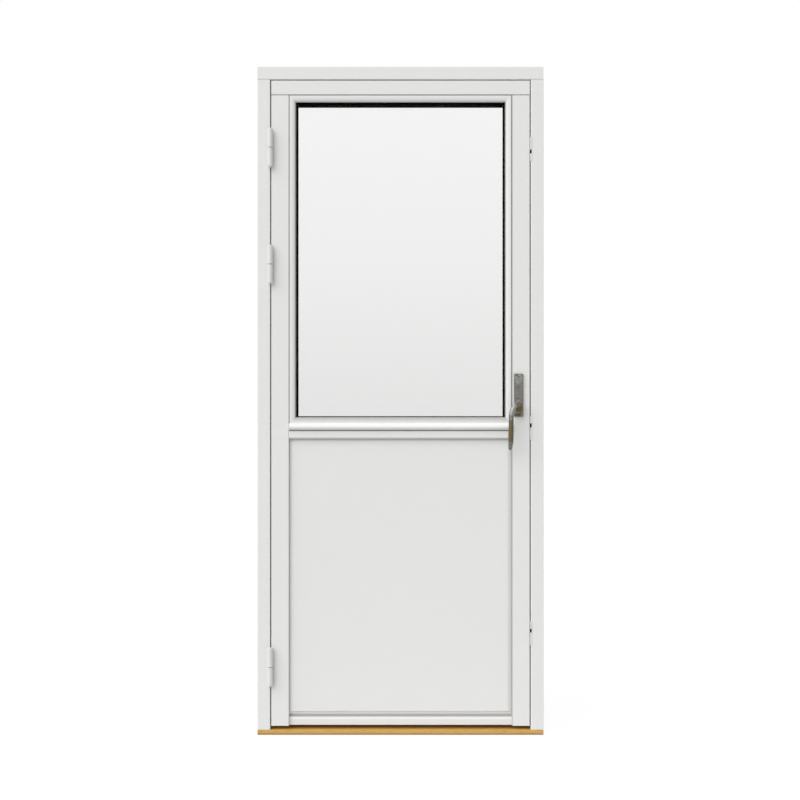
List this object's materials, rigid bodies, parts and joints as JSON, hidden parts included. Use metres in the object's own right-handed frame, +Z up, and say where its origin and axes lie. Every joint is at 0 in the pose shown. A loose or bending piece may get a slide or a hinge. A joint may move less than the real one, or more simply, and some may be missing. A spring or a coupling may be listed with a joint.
{
  "type": "balcony door",
  "caption": "Half-glazed white timber balcony door in its frame, opening inwards on lift-off hinges, with a lever-driven rod lock and an oak threshold.",
  "frame": {"origin": "middle of the threshold's underside, on its centre line and half way through the frame's depth", "axes": "+X to the right as seen from the room, +Y outdoors, +Z up"},
  "size_m": [0.89, 0.1713, 2.08],
  "materials": {
    "painted_timber": "satin",
    "oak": "satin",
    "beech": "matte",
    "insulation": "matte",
    "painted_steel": "satin",
    "zinc_steel": "satin",
    "brass": "satin",
    "aluminium": "satin",
    "glass": "polished",
    "black_spacer": "matte",
    "sealant": "matte",
    "glazing_tape": "matte",
    "setting_block": "satin",
    "seal_rubber": "matte",
    "nickel_plate": "satin"
  },
  "bodies": {
    "frame": {"frame_head": "painted_timber", "hinge_jamb": "painted_timber", "lock_jamb": "painted_timber", "threshold": "oak", "frame_screws": "zinc_steel", "fixing_sleeves": "zinc_steel", "frame_seals": "seal_rubber", "top_hinge_frame_half": "painted_steel", "middle_hinge_frame_half": "painted_steel", "bottom_hinge_frame_half": "painted_steel", "hinge_pins": "zinc_steel", "hinge_washers": "brass", "hinge_frame_screws": "zinc_steel", "top_keep": "zinc_steel", "middle_keep": "zinc_steel", "bottom_keep": "zinc_steel", "keep_screws": "zinc_steel"},
    "leaf": {"hinge_stile": "painted_timber", "lock_stile": "painted_timber", "top_rail": "painted_timber", "mid_rail": "painted_timber", "bottom_rail": "painted_timber", "leaf_dowels": "beech", "panel_front_board": "painted_timber", "panel_insulation": "insulation", "panel_back_board": "painted_timber", "drip_bar": "aluminium", "drip_bar_screws": "zinc_steel", "left_bead": "painted_timber", "right_bead": "painted_timber", "top_bead": "painted_timber", "bottom_bead": "painted_timber", "outer_pane": "glass", "middle_pane": "glass", "inner_pane": "glass", "glass_spacers": "black_spacer", "glass_edge_seals": "sealant", "glazing_tapes": "glazing_tape", "setting_blocks": "setting_block", "top_hinge_leaf_half": "painted_steel", "middle_hinge_leaf_half": "painted_steel", "bottom_hinge_leaf_half": "painted_steel", "hinge_leaf_screws": "zinc_steel", "faceplate": "zinc_steel", "faceplate_screws": "zinc_steel", "gear_case": "zinc_steel", "gear_case_cover": "zinc_steel", "case_rivets": "zinc_steel", "handle_plate": "nickel_plate", "handle_plate_screws": "nickel_plate"},
    "handle": {"lever": "nickel_plate", "spindle": "zinc_steel", "pinion": "zinc_steel"},
    "upper_rods": {"upper_rod": "zinc_steel", "upper_rod_cam": "zinc_steel"},
    "lower_rods": {"lower_rod": "zinc_steel", "lower_rod_cams": "zinc_steel"}
  },
  "joints": [
    {"name": "leaf_swing", "type": "hinge", "parent": "frame", "child": "leaf", "pos_m": [-0.405, -0.0667, 1.04], "axis": [0, 0, -1], "range_deg": [0, 170]},
    {"name": "lever_turn", "type": "hinge", "parent": "leaf", "child": "handle", "pos_m": [0.3672, -0.0215, 1.022], "axis": [0, 1, 0], "range_deg": [0, 90]},
    {"name": "upper_rod_slide", "type": "slide", "parent": "leaf", "child": "upper_rods", "axis": [0, 0, 1], "range_m": [0, 0.0158]},
    {"name": "lower_rod_slide", "type": "slide", "parent": "leaf", "child": "lower_rods", "axis": [0, 0, -1], "range_m": [0, 0.0158]}
  ],
  "couplings": [
    {"joint": "upper_rod_slide", "follows": "lever_turn", "m_per_rad": 0.01},
    {"joint": "lower_rod_slide", "follows": "lever_turn", "m_per_rad": 0.01}
  ]
}
